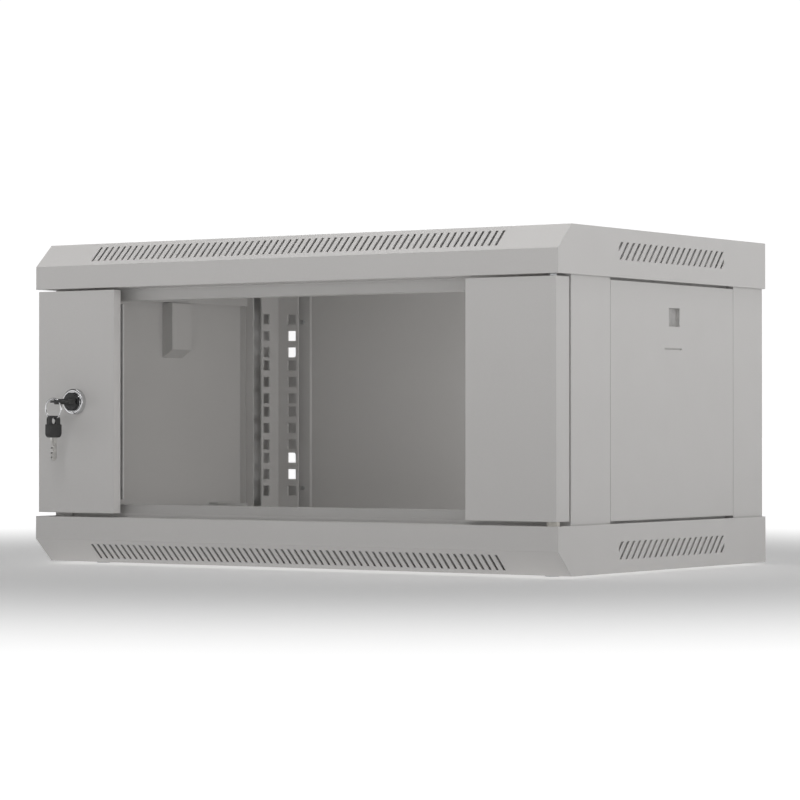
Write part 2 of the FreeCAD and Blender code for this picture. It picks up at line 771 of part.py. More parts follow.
def make_rail(label, face, towards):
    """An angle with square holes in both legs; towards is + when its side leg runs to the back."""
    def back(depth):
        return "%s %s %s" % (face, towards, depth)

    rail = new_body(label)
    outline = [
        ("rail_outer", face), ("rail_inner", face), ("rail_inner", back("rail_steel")),
        ("rail_outer + rail_steel", back("rail_steel")),
        ("rail_outer + rail_steel", back("rail_side_depth")), ("rail_outer", back("rail_side_depth"))]
    pad(rail, draw_outline(new_sketch(rail, "XY", "rail_base"), outline), "rail_length")
    first_hole = "mid_level - rack_unit * (rack_units - 1) / 2 - rack_hole_size / 2"
    for plane, column in (("XZ", "rack_hole_column"), ("YZ", back("rail_side_hole"))):
        holes = new_sketch(rail, plane)
        for step in (-1, 0, 1):
            draw_box(holes, column + " - rack_hole_size / 2", "%s + %d * rack_hole_step" % (first_hole, step),
                     "rack_hole_size", "rack_hole_size")
        repeat(rail, cut(rail, holes), "V_Axis", "rack_unit", "rack_units")
    slots = new_sketch(rail, "YZ")
    radius = "(rail_screw_radius + fastener_play)"
    for up in ("rail_screw_level", "cabinet_height - rail_screw_level"):
        draw_box(slots, "%s - %s" % (back("rail_side_hole"), radius), up + " - rail_slot_length / 2",
                 "2 * " + radius, "rail_slot_length")
    cut(rail, slots)
    return rail


def make_rails():
    front = make_rail("front_left_mounting_rail", "front_rail_setback", "+")
    rear = make_rail("rear_left_mounting_rail", "rear_rail_face", "-")
    return [front, mirrored("front_right_mounting_rail", front), rear, mirrored("rear_right_mounting_rail", rear)]


def make_frame_fasteners():
    """Rail screws and floor bolts with their nuts."""
    rail_screws = []
    rail_nuts = []
    for row in rail_screw_rows():
        for up in ("rail_screw_level", "cabinet_height - rail_screw_level"):
            seat = ("rail_outer + rail_steel", row, up)
            rail_screws.append(bolt("rail_screw", "X", seat, "rail_screw_radius",
                                    "(2 * rail_steel + rail_nut_height)", "rail_screw_head_radius",
                                    "rail_screw_head_height", head_last=True))
            rail_nuts.append(nut("rail_nut", "X", ("bar_outer - rail_nut_height", row, up), "rail_nut_radius",
                                 "rail_nut_height", "rail_screw_radius"))
    floor_bolts = [bolt("floor_bolt", "Z", spot + ("0",), "floor_bolt_radius", "floor_bolt_length",
                        "floor_head_radius", "floor_head_height", "fastener_sides") for spot in floor_bolt_spots()]
    floor_nuts = [nut("floor_nut", "Z", spot + ("rail_base",), "floor_nut_radius", "floor_nut_height",
                      "floor_bolt_radius") for spot in floor_bolt_spots()]
    return [on_both_sides("rail_screws", rail_screws), on_both_sides("rail_nuts", rail_nuts),
            on_both_sides("floor_bolts", floor_bolts), on_both_sides("floor_nuts", floor_nuts)]


# Lift-off side panels with their slide latches
def make_panel_skin():
    panel = new_body("left_side_panel")
    front = "panel_front + panel_side_gap"
    width = "panel_opening_depth - 2 * panel_side_gap"
    height = "opening_height - 2 * panel_end_gap"
    pad(panel, draw_box(new_sketch(panel, "YZ", "body_side_gap"), front, "panel_foot", width, height), "panel_depth")
    hollow = draw_box(new_sketch(panel, "YZ", "panel_inside"), front + " + panel_steel", "panel_foot + panel_steel",
                      width + " - 2 * panel_steel", height + " - 2 * panel_steel")
    cut(panel, hollow, "panel_depth")
    openings = new_sketch(panel, "YZ", "body_side_gap")
    draw_box(openings, "finger_hole_front", "finger_hole_level", "finger_hole_width", "finger_hole_height")
    draw_box(openings, "latch_box_front", "latch_box_level", "latch_box_width", "lance_height")
    cut(panel, openings, "panel_steel")
    tabs = new_sketch(panel, "XY", "panel_tab_level")
    for sign in "-+":
        middle = "panel_front + panel_opening_depth / 2 %s panel_tab_spread / 2" % sign
        draw_box(tabs, "panel_inside", middle + " - panel_tab_width / 2", "panel_tab_reach", "panel_tab_width")
    pad(panel, tabs, "steel")
    return panel


def make_latch_box():
    """The pocket behind a side panel that the latch slides in, open at its top."""
    box = new_body("left_latch_box")
    wall = "(panel_steel * sqrt(latch_box_depth ^ 2 + latch_box_slope ^ 2) / latch_box_depth)"
    fall = "(latch_box_slope / latch_box_depth)"
    foot = "latch_box_level + latch_box_slope"
    pad(box, draw_outline(new_sketch(box, "XZ", "latch_box_front"), [
        ("panel_inside", "latch_box_level"), ("latch_inner", foot),
        ("latch_inner", "latch_box_top"), ("panel_inside", "latch_box_top")]), "latch_box_width")
    hollow = draw_outline(new_sketch(box, "XZ", "latch_box_front + panel_steel"), [
        ("panel_inside", "latch_box_level + " + wall),
        ("latch_inner - panel_steel", "%s + %s - %s * panel_steel" % (foot, wall, fall)),
        ("latch_inner - panel_steel", "latch_box_top"), ("panel_inside", "latch_box_top")])
    cut(box, hollow, "latch_box_width - 2 * panel_steel")
    return box


def make_latch_slider():
    """A slab behind the finger hole, bridged over to a tongue that rises behind the upper side rail."""
    slab = block("latch_slab", ("slab_face", "slab_front", "latch_slab_level"),
                 ("latch_slab_thickness", "slab_width", "latch_slab_height"))
    bridge_level = "latch_slab_level + latch_slab_height - latch_bridge_height"
    bridge = block("latch_bridge", ("slab_face + latch_slab_thickness", "slab_front", bridge_level),
                   ("tongue_face - slab_face - latch_slab_thickness", "slab_width", "latch_bridge_height"))
    tongue = block("latch_tongue", ("tongue_face", "slab_front", bridge_level),
                   ("latch_tongue_thickness", "slab_width", "latch_box_top - (%s)" % bridge_level))
    recess = block("latch_recess", ("slab_face", "finger_hole_front", "finger_hole_level"),
                   ("latch_recess_depth", "finger_hole_width", "finger_hole_height"))
    return less("left_latch_slider", joined("latch_blank", [slab, bridge, tongue]), recess)


def make_side_panels():
    pieces = [make_panel_skin(), make_latch_box(), make_latch_slider()]
    return pieces + [mirrored(piece.Label.replace("left", "right"), piece) for piece in pieces]


# Glass door
def make_door_strips():
    """The painted side strips, folded back round their outer edge and round the edge of the glass."""
    strip = new_body("plain_door_strip")
    lip_end = "strip_edge - strip_lip"
    outline = [
        ("door_side_gap", "strip_back"), ("door_side_gap", "door_setback"), ("strip_edge", "door_setback"),
        ("strip_edge", "lip_back"), (lip_end, "lip_back"), (lip_end, "lip_front"),
        ("strip_edge - steel", "lip_front"), ("strip_edge - steel", "strip_inside"),
        ("door_side_gap + steel", "strip_inside"), ("door_side_gap + steel", "strip_back")]
    pad(strip, draw_outline(new_sketch(strip, "XY", "door_bottom"), outline), "door_height")
    hole = rod("lock_hole", "Y", ("lock_across", "door_setback", "lock_level"),
               "lock_barrel_radius + running_play", "steel")
    return [less("door_left_strip", strip, hole), mirrored("door_right_strip", strip)]


def make_glazing():
    glass = block("door_glass", ("glass_edge", "glass_front", "door_bottom"),
                  ("cabinet_width - 2 * glass_edge", "glass_thickness", "door_height"))
    gasket = block("left_glass_gasket", ("glass_edge", "lip_back", "door_bottom"),
                   ("glass_tape_width", "glass_tape", "door_height"))
    corner = ("door_side_gap + clamp_bar_inset", "glass_back", "door_bottom + clamp_bar_end_gap")
    bar = block("clamp_bar_blank", corner,
                ("clamp_bar_width", "clamp_bar_thickness", "door_height - 2 * clamp_bar_end_gap"))
    slots = []
    studs = []
    nuts = []
    column = "door_side_gap + clamp_stud_inset"
    radius = "(clamp_stud_radius + fastener_play)"
    for sign in "-+":
        level = "lock_level %s clamp_stud_spread / 2" % sign
        seat = (column, "clamp_back", level)
        slots.append(block("clamp_slot", (column + " - " + radius, "glass_back", level + " - clamp_slot_length / 2"),
                           ("2 * " + radius, "clamp_bar_thickness", "clamp_slot_length")))
        studs.append(prism("clamp_stud", "Y", moved(seat, "Y", "- clamp_back + strip_inside"), "clamp_stud_radius",
                           "clamp_back + clamp_nut_height - strip_inside"))
        nuts.append(nut("clamp_nut", "Y", seat, "clamp_nut_radius", "clamp_nut_height", "clamp_stud_radius"))
    clamp = less("left_glass_clamp", bar, grouped("clamp_slots", slots))
    return [glass, gasket, mirrored("right_glass_gasket", gasket), clamp, mirrored("right_glass_clamp", clamp),
            on_both_sides("glass_clamp_studs", studs), on_both_sides("glass_clamp_nuts", nuts)]


# Hinges: a fixed pin below, a spring-loaded one above
def hinge_spot(up):
    return ("hinge_across", "hinge_setback", up)


def make_brackets():
    left = "cabinet_width - door_side_gap - steel - hinge_plate_width"

    def plate(up):
        return block("hinge_plate", (left, "strip_inside", up),
                     ("hinge_plate_width", "hinge_plate_reach", "hinge_plate_thickness"))

    def web(up, height):
        return block("hinge_web", (left, "strip_inside", up), ("hinge_plate_width", "hinge_plate_thickness", height))

    lower = joined("lower_hinge_blank", [plate("door_bottom"), web("door_bottom", "lower_web_height")])
    upper = joined("upper_hinge_blank", [plate("guide_bottom"), web("guide_bottom", "upper_guide_height"),
                                         plate("door_top - hinge_plate_thickness")])
    radius = "hinge_pin_radius + running_play"
    lower_hole = rod("lower_hinge_hole", "Z", hinge_spot("door_bottom"), radius, "hinge_plate_thickness")
    upper_hole = rod("upper_hinge_hole", "Z", hinge_spot("guide_bottom"), radius, "upper_guide_height")
    return [less("door_lower_hinge_bracket", lower, lower_hole), less("door_upper_hinge_bracket", upper, upper_hole)]


def make_hinge_pins():
    lower_pin = rod("lower_hinge_pin", "Z", hinge_spot("tray_height"), "hinge_pin_radius", "lower_pin_height")
    height = "door_bottom_gap - hinge_washer_gap"
    disc = rod("washer_disc", "Z", hinge_spot("tray_height"), "hinge_washer_radius", height)
    bore = rod("washer_bore", "Z", hinge_spot("tray_height"), "hinge_pin_radius + running_play", height)
    foot = "guide_bottom - upper_pin_tail"
    shank = rod("pin_shank", "Z", hinge_spot(foot), "hinge_pin_radius",
                "upper_guide_height + upper_pin_tail + upper_pin_rise")
    collar = rod("pin_collar", "Z", hinge_spot("collar_top - pin_collar_height"), "pin_collar_radius",
                 "pin_collar_height")
    corner = ("hinge_across - pin_handle_length", "hinge_setback - pin_handle_thickness / 2", foot)
    handle = block("pin_handle", corner, ("pin_handle_length", "pin_handle_thickness", "pin_handle_thickness"))
    return [lower_pin, less("lower_hinge_washer", disc, bore), joined("upper_hinge_pin", [shank, collar, handle])]


def make_pin_spring():
    """The coil spring between the lower plate of the upper hinge and the collar of its pin, as a sleeve."""
    foot = "guide_bottom + hinge_plate_thickness"
    length = "collar_top - pin_collar_height - guide_bottom - hinge_plate_thickness"
    outside = rod("spring_outside", "Z", hinge_spot(foot), "spring_radius", length)
    inside = rod("spring_inside", "Z", hinge_spot(foot), "spring_radius - spring_wire", length)
    return less("upper_pin_spring", outside, inside)


# Cam lock in the left strip, turned by the key
def lock_spot(back):
    return ("lock_across", back, "lock_level")


def make_lock_housing():
    length = "cam_face - cam_play - door_setback"
    bezel = rod("lock_bezel", "Y", lock_spot("bezel_face"), "lock_bezel_radius", "lock_bezel_height")
    barrel = rod("lock_barrel", "Y", lock_spot("door_setback"), "lock_barrel_radius", length)
    bore = rod("lock_bore", "Y", lock_spot("bezel_face"), "lock_core_radius + running_play",
               "lock_bezel_height + " + length)
    nut_blank = prism("lock_nut_blank", "Y", lock_spot("strip_inside"), "lock_nut_radius", "lock_nut_height", "6")
    nut_bore = rod("lock_nut_bore", "Y", lock_spot("strip_inside"), "lock_barrel_radius + running_play",
                   "lock_nut_height")
    return [less("lock_housing", joined("lock_housing_blank", [bezel, barrel]), bore),
            less("lock_nut", nut_blank, nut_bore)]


def make_lock_plug():
    front = rod("plug_front", "Y", lock_spot("plug_face"), "plug_head_radius", "plug_head_height - plug_gap")
    core = rod("plug_core", "Y", lock_spot("plug_face"), "lock_core_radius", "cam_face - plug_face")
    corner = ("lock_across - key_blade_width / 2 - keyway_play", "plug_face",
              "lock_level - key_blade_thickness / 2 - keyway_play")
    keyway = block("keyway", corner, ("key_blade_width + 2 * keyway_play", "key_blade_length",
                                      "key_blade_thickness + 2 * keyway_play"))
    seat = lock_spot("cam_face + cam_thickness")
    screw_hole = prism("cam_screw_hole", "Y", moved(seat, "Y", "- cam_screw_length"), "cam_screw_radius",
                       "cam_screw_length")
    hub = rod("cam_hub", "Y", lock_spot("cam_face"), "cam_hub_radius", "cam_thickness")
    arm = block("cam_arm", ("lock_across - cam_width / 2", "cam_face", "lock_level - cam_length"),
                ("cam_width", "cam_thickness", "cam_length"))
    hole = prism("cam_hole", "Y", lock_spot("cam_face"), "cam_screw_radius", "cam_thickness")
    return [less("lock_plug", joined("plug_blank", [front, core]), grouped("plug_cuts", [keyway, screw_hole])),
            less("lock_cam", joined("cam_blank", [hub, arm]), hole),
            bolt("cam_screw", "Y", seat, "cam_screw_radius", "cam_screw_length", "cam_head_radius",
                 "cam_head_height", head_last=True)]


# Two keys on a ring, one of them in the lock
def make_key(name, plane, middle, point):
    """A flat key on a sketch plane; point turns a sideways and a lengthwise distance into a place."""
    def plate(body, thickness, corners):
        sketch = new_sketch(body, plane, "%s - %s / 2" % (middle, thickness))
        pad(body, draw_outline(sketch, [point(*corner) for corner in corners]), thickness)

    half = "key_head_width / 2"
    head_end = "key_tab_reach + key_head_length"
    head = new_body(name + "_key_head")
    plate(head, "key_head_thickness", [
        ("-" + half, "key_tab_reach"), (half, "key_tab_reach"), (half, head_end + " - key_head_chamfer"),
        (half + " - key_head_chamfer", head_end), ("-" + half + " + key_head_chamfer", head_end),
        ("-" + half, head_end + " - key_head_chamfer")])
    plate(head, "key_tab_thickness", [
        ("-" + half + " + key_head_chamfer", "-key_hole_inset"), (half + " - key_head_chamfer", "-key_hole_inset"),
        (half, "-key_hole_inset + key_head_chamfer"), (half, "key_tab_reach"), ("-" + half, "key_tab_reach"),
        ("-" + half, "-key_hole_inset + key_head_chamfer")])
    hole = new_sketch(head, plane, "%s - key_tab_thickness / 2" % middle)
    cut(head, draw_circle(hole, *point("0", "0"), "key_hole_radius"), "key_tab_thickness")
    blade = new_body(name + "_key_blade")
    side = "key_blade_width / 2"
    shoulder = head_end + " + key_blade_length - " + side
    plate(blade, "key_blade_thickness", [
        ("-" + side, head_end), (side, head_end), (side, shoulder), ("0", head_end + " + key_blade_length"),
        ("-" + side, shoulder)])
    return [head, blade]


def make_keys():
    def inserted_point(sideways, lengthwise):
        return ("lock_across + " + sideways, "key_hole_back + " + lengthwise)

    def spare_point(sideways, lengthwise):
        return ("key_hole_back + " + sideways, "spare_level - (%s)" % lengthwise)

    def ring_disc(label, radius):
        return rod(label, "Y", ("ring_across", "key_hole_back - ring_wire / 2", "ring_level"), radius, "ring_wire")

    ring = less("key_ring", ring_disc("ring_outside", "ring_radius + ring_wire / 2"),
                ring_disc("ring_inside", "ring_radius - ring_wire / 2"))
    inserted = make_key("inserted", "XY", "lock_level", inserted_point)
    return inserted + [ring] + make_key("spare", "YZ", "ring_across", spare_point)


nodes = make_trays() + make_cable_covers() + make_body_frame() + [make_back_panel(), make_rivets()]
nodes += make_depth_bars() + make_rails() + make_frame_fasteners() + make_side_panels()
nodes += make_door_strips() + make_glazing() + make_brackets() + make_hinge_pins() + [make_pin_spring()]
nodes += make_lock_housing() + make_lock_plug() + make_keys()
doc.recompute()

for item in doc.Objects:
    if "Invalid" in item.State or "Error" in item.State:
        raise ValueError("%s did not compute" % item.Label)
for node in nodes:
    if node.Shape.isNull() or not node.Shape.isValid():
        raise ValueError("%s has no valid shape" % node.Label)

os.makedirs("parts", exist_ok=True)
for node in nodes:
    node.Shape.exportStep("parts/%s.step" % node.Label)
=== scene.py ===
# Wall mount network cabinet: finish, small details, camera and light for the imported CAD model.
# Lengths are in metres, in the frame of the CAD model: +X right, +Y to the wall, +Z up.
import json
import math

import bmesh
import bpy
from mathutils import Matrix, Vector

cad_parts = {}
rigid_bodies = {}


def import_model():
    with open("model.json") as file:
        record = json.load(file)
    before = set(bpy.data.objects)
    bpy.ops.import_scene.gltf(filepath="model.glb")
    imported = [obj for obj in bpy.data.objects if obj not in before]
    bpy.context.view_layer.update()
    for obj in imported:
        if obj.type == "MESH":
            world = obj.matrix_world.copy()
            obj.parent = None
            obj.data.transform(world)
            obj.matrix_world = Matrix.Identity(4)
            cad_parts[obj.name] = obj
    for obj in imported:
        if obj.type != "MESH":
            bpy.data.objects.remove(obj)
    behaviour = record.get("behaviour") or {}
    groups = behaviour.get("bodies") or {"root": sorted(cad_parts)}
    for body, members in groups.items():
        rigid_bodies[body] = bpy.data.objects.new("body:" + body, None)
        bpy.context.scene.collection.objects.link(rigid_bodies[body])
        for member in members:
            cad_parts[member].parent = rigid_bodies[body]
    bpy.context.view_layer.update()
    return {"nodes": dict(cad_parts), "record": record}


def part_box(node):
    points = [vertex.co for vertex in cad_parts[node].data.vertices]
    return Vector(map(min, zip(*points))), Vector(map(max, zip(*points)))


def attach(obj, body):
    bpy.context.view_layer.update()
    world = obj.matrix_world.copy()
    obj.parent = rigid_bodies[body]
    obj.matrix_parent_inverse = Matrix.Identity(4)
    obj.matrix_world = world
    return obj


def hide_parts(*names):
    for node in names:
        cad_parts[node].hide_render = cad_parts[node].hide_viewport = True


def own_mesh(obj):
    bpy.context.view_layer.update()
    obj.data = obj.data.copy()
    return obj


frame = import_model()
nodes = frame["nodes"]
scene = bpy.context.scene
MM = 0.001


# Materials
def set_range(node, from_low, from_high, to_low, to_high):
    """Set a Map Range node to carry one range to another."""
    for name, number in (("From Min", from_low), ("From Max", from_high),
                         ("To Min", to_low), ("To Max", to_high)):
        node.inputs[name].default_value = number


class Shader:
    """A node material that is built step by step round one Principled BSDF."""

    def __init__(self, name):
        self.material = bpy.data.materials.new(name)
        self.material.use_nodes = True
        self.tree = self.material.node_tree
        self.principled = self.tree.nodes["Principled BSDF"]
        self.place = self.add("ShaderNodeTexCoord").outputs["Object"]

    def add(self, kind, **settings):
        node = self.tree.nodes.new(kind)
        for name, value in settings.items():
            setattr(node, name, value)
        return node

    def link(self, output, target):
        self.tree.links.new(output, target)

    def set(self, **values):
        """Set inputs of the Principled BSDF; an underscore stands for a space."""
        for name, value in values.items():
            self.principled.inputs[name.replace("_", " ")].default_value = value

    def noise(self, size, detail=2.0, roughness=0.5, stretch=(1, 1, 1)):
        """A noise whose features are about size metres across, squeezed along each axis by stretch."""
        mapping = self.add("ShaderNodeMapping")
        mapping.inputs["Scale"].default_value = stretch
        self.link(self.place, mapping.inputs["Vector"])
        texture = self.add("ShaderNodeTexNoise")
        texture.inputs["Scale"].default_value = 1 / size
        texture.inputs["Detail"].default_value = detail
        texture.inputs["Roughness"].default_value = roughness
        self.link(mapping.outputs["Vector"], texture.inputs["Vector"])
        return texture.outputs["Fac"]

    def spread(self, value, low, high, low_out, high_out):
        """Map a value from low..high to low_out..high_out."""
        node = self.add("ShaderNodeMapRange")
        set_range(node, low, high, low_out, high_out)
        self.link(value, node.inputs["Value"])
        return node.outputs["Result"]

    def blend(self, factor, first, second):
        """A colour between first and second, which are colours or outputs."""
        node = self.add("ShaderNodeMix", data_type="RGBA")
        self.link(factor, node.inputs["Factor"])
        for socket, colour in ((node.inputs[6], first), (node.inputs[7], second)):
            if isinstance(colour, tuple):
                socket.default_value = colour + (1,)
            else:
                self.link(colour, socket)
        return node.outputs[2]

    def colour(self, output):
        self.link(output, self.principled.inputs["Base Color"])

    def roughness(self, output):
        self.link(output, self.principled.inputs["Roughness"])

    def bump(self, heights, rounding=0.0):
        """Bumps from pairs of height output and depth in metres, over edges rounded by a radius."""
        normal = None
        if rounding:
            bevel = self.add("ShaderNodeBevel", samples=6)
            bevel.inputs["Radius"].default_value = rounding
            normal = bevel.outputs["Normal"]
        for output, depth in heights:
            node = self.add("ShaderNodeBump")
            node.inputs["Strength"].default_value = 1.0
            node.inputs["Distance"].default_value = depth
            self.link(output, node.inputs["Height"])
            if normal is not None:
                self.link(normal, node.inputs["Normal"])
            normal = node.outputs["Normal"]
        self.link(normal, self.principled.inputs["Normal"])


def powder_coat():
    """Light grey powder coat: a fine orange-peel skin with a little sand grain and faint handling marks."""
    shader = Shader("powder_coat")
    clouds = shader.spread(shader.noise(0.09, 3), 0.3, 0.7, 0, 1)
    base = shader.blend(clouds, (0.600, 0.588, 0.577), (0.616, 0.603, 0.592))
    grain = shader.spread(shader.noise(0.0006, 2), 0.35, 0.65, 0, 1)
    shader.colour(shader.blend(grain, base, (0.626, 0.613, 0.602)))
    shader.roughness(shader.spread(shader.noise(0.03, 4), 0.3, 0.7, 0.42, 0.52))
    shader.set(Specular_IOR_Level=0.42)
    shader.bump([(shader.noise(0.0022, 1), 0.00004), (shader.noise(0.0007, 2), 0.00003)], rounding=0.0006)
    return shader.material


def plated_steel(name, tint, low, high, stretch=(1, 1, 1)):
    """Plated metal with soft cloudy patches and fine rubbing lines."""
    shader = Shader(name)
    shader.set(Metallic=1.0)
    clouds = shader.spread(shader.noise(0.004, 3), 0.3, 0.7, 0, 1)
    darker = tuple(0.86 * part for part in tint)
    shader.colour(shader.blend(clouds, darker, tint))
    shader.roughness(shader.spread(shader.noise(0.0008, 4, 0.7, stretch), 0.3, 0.7, low, high))
    shader.bump([(shader.noise(0.0005, 2, 0.5, stretch), 0.00001)], rounding=0.0002)
    return shader.material


def moulding(name, tint, low, high, grain=0.00002):
    """Moulded plastic with a spark-eroded grain."""
    shader = Shader(name)
    lighter = tuple(min(1.0, 1.25 * part + 0.004) for part in tint)
    shader.colour(shader.blend(shader.spread(shader.noise(0.006, 3), 0.3, 0.7, 0, 1), tint, lighter))
    shader.roughness(shader.spread(shader.noise(0.003, 3), 0.3, 0.7, low, high))
    shader.bump([(shader.noise(0.0004, 2), grain)], rounding=0.0004)
    return shader.material


def foam_tape():
    shader = Shader("foam_tape")
    shader.colour(shader.blend(shader.noise(0.0006, 3), (0.02, 0.02, 0.02), (0.05, 0.05, 0.05)))
    shader.set(Roughness=0.9)
    shader.bump([(shader.noise(0.0007, 3), 0.0001)])
    return shader.material


def float_glass():
    """Clear glass with a breath of grey and a trace of dust."""
    shader = Shader("float_glass")
    dust = shader.spread(shader.noise(0.05, 5, 0.6), 0.45, 0.75, 0, 1)
    shader.colour(shader.blend(dust, (0.20, 0.22, 0.21), (0.30, 0.31, 0.31)))
    shader.roughness(shader.spread(dust, 0, 1, 0.02, 0.05))
    shader.set(Alpha=0.05, Specular_IOR_Level=0.3)
    shader.bump([(shader.noise(0.25, 1), 0.00008)])
    return shader.material


MATERIALS = {
    "powder_coat": powder_coat(),
    "zinc_plate": plated_steel("zinc_plate", (0.60, 0.61, 0.62), 0.28, 0.42),
    "chrome_plate": plated_steel("chrome_plate", (0.72, 0.72, 0.73), 0.06, 0.12),
    "nickel_blade": plated_steel("nickel_blade", (0.68, 0.67, 0.65), 0.22, 0.36, (1, 1, 6)),
    "black_plastic": moulding("black_plastic", (0.026, 0.026, 0.026), 0.36, 0.46),
    "black_plug": moulding("black_plug", (0.010, 0.010, 0.011), 0.24, 0.34, 0.000008),
    "washer_plastic": moulding("washer_plastic", (0.62, 0.60, 0.55), 0.40, 0.50),
    "gasket": foam_tape(),
    "latch_plastic": moulding("latch_plastic", (0.44, 0.432, 0.424), 0.45, 0.55),
    "glass": float_glass(),
}


def paint(obj, slot):
    obj.data.materials.clear()
    obj.data.materials.append(MATERIALS[slot])


for part in frame["record"]["subparts"]:
    paint(nodes[part["node"]], part["material_slot"])


# Pieces that take the place of the plainest CAD nodes
def centre(node):
    low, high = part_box(node)
    return (low + high) / 2


def ring_points(radius, count, middle=(0, 0), start=0.0):
    """Points of a circle, counter-clockwise."""
    turns = [start + 2 * math.pi * step / count for step in range(count)]
    return [(middle[0] + radius * math.cos(turn), middle[1] + radius * math.sin(turn)) for turn in turns]


def plate_mesh(name, outlines, low, high, edge):
    """A flat plate with rounded edges between two levels of local Z: the outlines are its rim and its holes."""
    curve = bpy.data.curves.new(name, "CURVE")
    curve.dimensions = "2D"
    curve.fill_mode = "BOTH"
    for outline in outlines:
        spline = curve.splines.new("POLY")
        spline.points.add(len(outline) - 1)
        for point, (across, up) in zip(spline.points, outline):
            point.co = (across, up, 0, 1)
        spline.use_cyclic_u = True
    curve.extrude = (high - low) / 2 - edge
    curve.bevel_depth = edge
    curve.bevel_resolution = 2
    curve.offset = -edge
    carrier = bpy.data.objects.new(name, curve)
    scene.collection.objects.link(carrier)
    bpy.context.view_layer.update()
    mesh = bpy.data.meshes.new_from_object(carrier.evaluated_get(bpy.context.evaluated_depsgraph_get()))
    bpy.data.objects.remove(carrier)
    mesh.transform(Matrix.Translation((0, 0, (low + high) / 2)))
    return mesh


def lathe_mesh(name, profile, segments=64):
    """A solid turned round local Z from (radius, height) points, listed from the bottom of the outside up."""
    shape = bmesh.new()
    rings = []
    for radius, height in profile:
        if radius < 1e-7:
            rings.append([shape.verts.new((0, 0, height))])
        else:
            rings.append([shape.verts.new((x, y, height)) for x, y in ring_points(radius, segments)])
    closed = len(rings[0]) > 1 and len(rings[-1]) > 1
    pairs = list(zip(rings, rings[1:])) + ([(rings[-1], rings[0])] if closed else [])
    for lower, upper in pairs:
        for step in range(segments):
            after = (step + 1) % segments
            corners = [lower[step % len(lower)], lower[after % len(lower)],
                       upper[after % len(upper)], upper[step % len(upper)]]
            shape.faces.new(list(dict.fromkeys(corners)))
    bmesh.ops.recalc_face_normals(shape, faces=shape.faces)
    mesh = bpy.data.meshes.new(name)
    shape.to_mesh(mesh)
    shape.free()
    return mesh


def tube_mesh(name, points, half_out, half_up, segments=10):
    """A wire along points of a winding round local Z, with an oval section given by its two half widths."""
    shape = bmesh.new()
    rings = []
    for point in points:
        outward = Vector((point[0], point[1], 0)).normalized()
        ring = []
        for step in range(segments):
            turn = 2 * math.pi * step / segments
            upward = Vector((0, 0, half_up * math.sin(turn)))
            ring.append(shape.verts.new(Vector(point) + outward * (half_out * math.cos(turn)) + upward))
        rings.append(ring)
    for lower, upper in zip(rings, rings[1:]):
        for step in range(segments):
            after = (step + 1) % segments
            shape.faces.new((lower[step], lower[after], upper[after], upper[step]))
    shape.faces.new(rings[0][::-1])
    shape.faces.new(rings[-1])
    bmesh.ops.recalc_face_normals(shape, faces=shape.faces)
    mesh = bpy.data.meshes.new(name)
    shape.to_mesh(mesh)
    shape.free()
    return mesh


def turned_to(axis_x, axis_z, origin):
    """A matrix that carries local X and Z to these directions and the local origin to a point."""
    across = Vector(axis_x)
    along = Vector(axis_z)
    matrix = Matrix((across, along.cross(across), along)).transposed().to_4x4()
    matrix.translation = origin
    return matrix


def add_piece(name, meshes, slot, body, replaced, smooth_angle=35):
    """One object from meshes paired with their places, in place of CAD nodes."""
    shape = bmesh.new()
    for mesh, matrix in meshes:
        copy = mesh.copy()
        copy.transform(matrix)
        shape.from_mesh(copy)
        bpy.data.meshes.remove(copy)
    for face in shape.faces:
        face.smooth = True
        face.material_index = 0
    limit = math.radians(smooth_angle)
    for edge in shape.edges:
        edge.smooth = edge.is_manifold and edge.calc_face_angle(0) < limit
    joined = bpy.data.meshes.new(name)
    shape.to_mesh(joined)
    shape.free()
    piece = bpy.data.objects.new(name, joined)
    scene.collection.objects.link(piece)
    paint(piece, slot)
    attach(piece, body)
    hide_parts(*replaced)
    return piece


def scaled(points):
    return [(MM * across, MM * up) for across, up in points]


# Keys: lengths in millimetres on the key's own plane, from the middle of the ring hole towards the tip
KEY_HALF = 8.5
KEY_HEAD_START = 3.0
KEY_HEAD_END = 14.6
BLADE_START = KEY_HEAD_END - 0.6
BLADE_TIP = 35.3
BLADE_HALF = 3.25
HALF_GRIP = 2.5
HALF_TAB = 1.0
HALF_WEB = 0.55
TAB_HOLE = 2.8
TAB_END = -4.4
KEY_HEAD_OUTLINE = [
    (KEY_HALF, KEY_HEAD_START), (KEY_HALF, KEY_HEAD_END - 3.2), (KEY_HALF - 0.9, KEY_HEAD_END - 1.2),
    (KEY_HALF - 3.0, KEY_HEAD_END), (3.0 - KEY_HALF, KEY_HEAD_END), (0.9 - KEY_HALF, KEY_HEAD_END - 1.2),
    (-KEY_HALF, KEY_HEAD_END - 3.2), (-KEY_HALF, KEY_HEAD_START)]
KEY_TAB_OUTLINE = [
    (KEY_HALF - 0.2, KEY_HEAD_START + 1), (0.2 - KEY_HALF, KEY_HEAD_START + 1), (0.2 - KEY_HALF, -1.4),
    (0.9 - KEY_HALF, -3.1), (3.0 - KEY_HALF, TAB_END), (KEY_HALF - 3.0, TAB_END), (KEY_HALF - 0.9, -3.1),
    (KEY_HALF - 0.2, -1.4)]
BLADE_SPINE = [(BLADE_HALF, BLADE_START), (BLADE_HALF, 32.4), (2.4, 33.8), (1.1, 34.7), (1.1, BLADE_START)]
BLADE_WEB = [(1.6, BLADE_START), (1.6, 34.2), (0.8, 34.9), (-0.5, 34.6), (-0.5, BLADE_START)]
